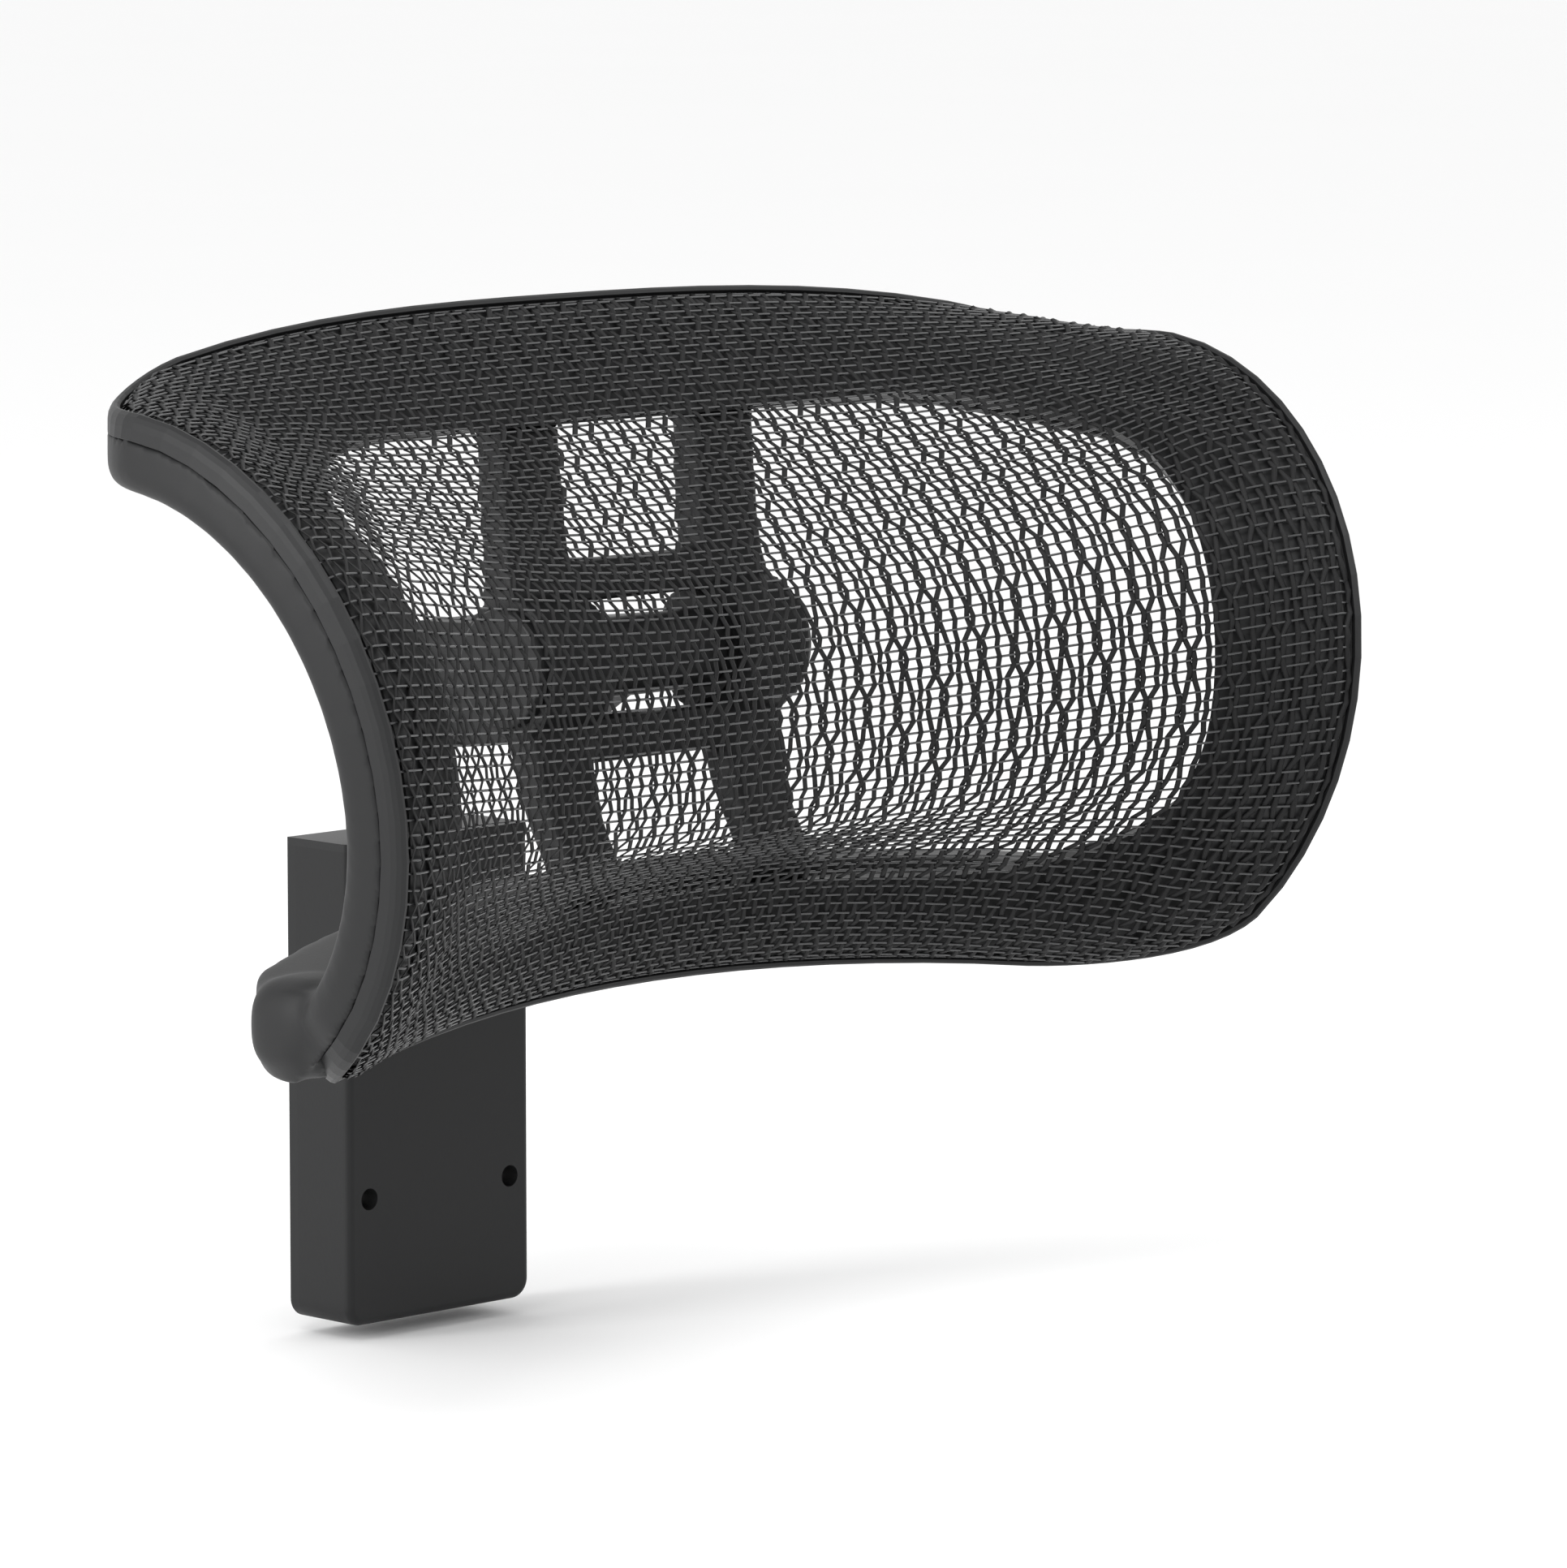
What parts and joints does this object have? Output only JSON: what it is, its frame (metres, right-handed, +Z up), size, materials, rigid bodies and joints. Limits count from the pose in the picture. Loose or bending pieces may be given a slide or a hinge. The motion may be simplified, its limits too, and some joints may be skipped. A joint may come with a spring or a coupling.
{
  "type": "chair headrest attachment",
  "caption": "Bolt-on office chair headrest: curved mesh pad in a moulded ring, friction tilt hinge, notched height post and slim rear bracket with a push button.",
  "frame": {"origin": "middle of the four mounting holes, on the bracket's flat mounting face", "axes": "+Z up, +Y to the back away from the sitter, +X to the sitter's left; the mounting face looks along -Y"},
  "size_m": [0.3526, 0.1859, 0.2596],
  "materials": {
    "rim": "fine sandblast texture, charcoal glass-filled nylon",
    "frame": "fine sandblast texture, charcoal glass-filled nylon",
    "mesh": "open leno weave of black ribbon warps and clear monofilament wefts",
    "strip": "plain extruded elastomer",
    "screw": "black zinc",
    "bush": "turned steel",
    "bolt": "zinc plated",
    "friction": "natural acetal",
    "cap": "fine texture",
    "neck": "fine sandblast texture, glass-filled nylon",
    "post": "smooth moulded nylon",
    "core": "cold-rolled flat bar",
    "stop": "acetal",
    "bracket": "fine sandblast texture, glass-filled nylon",
    "cover": "fine texture",
    "collar": "fine texture",
    "liner": "natural acetal",
    "spring": "music wire",
    "latch": "stamped steel",
    "button": "fine texture"
  },
  "bodies": {
    "bracket": {"bracket_base": "bracket", "bracket_cover": "cover", "cover_screws": "screw", "guide_collar": "collar", "guide_liner_front": "liner", "guide_liner_rear": "liner", "latch_spring": "spring"},
    "post": {"neck_arm": "neck", "barrel_tube": "bush", "post_sleeve": "post", "post_core": "core", "core_screw": "screw", "bar_stop": "stop", "stop_screw": "screw"},
    "head": {"front_ring": "rim", "rear_frame": "frame", "mesh_panel": "mesh", "mesh_spline": "strip", "ring_screws": "screw", "eye_bush_left": "bush", "eye_bush_right": "bush", "pivot_bolt": "bolt", "lock_nut": "bolt", "pivot_washers": "bolt", "friction_washer_left": "friction", "friction_washer_right": "friction", "eye_cap_left": "cap", "eye_cap_right": "cap"},
    "latch": {"latch_plate": "latch", "latch_button": "button"}
  },
  "joints": [
    {"name": "height_slide", "type": "slide", "parent": "bracket", "child": "post", "axis": [0, 0, 1], "range_m": [-0.022, 0.033]},
    {"name": "head_tilt", "type": "hinge", "parent": "post", "child": "head", "pos_m": [0, -0.072, 0.113], "axis": [1, 0, 0], "range_deg": [-20, 15]},
    {"name": "latch_press", "type": "slide", "parent": "bracket", "child": "latch", "axis": [-1, 0, 0], "range_m": [0, 0.003], "stiffness_N_per_m": 1200, "springref_m": -0.004, "deforming": ["latch_spring"]}
  ]
}
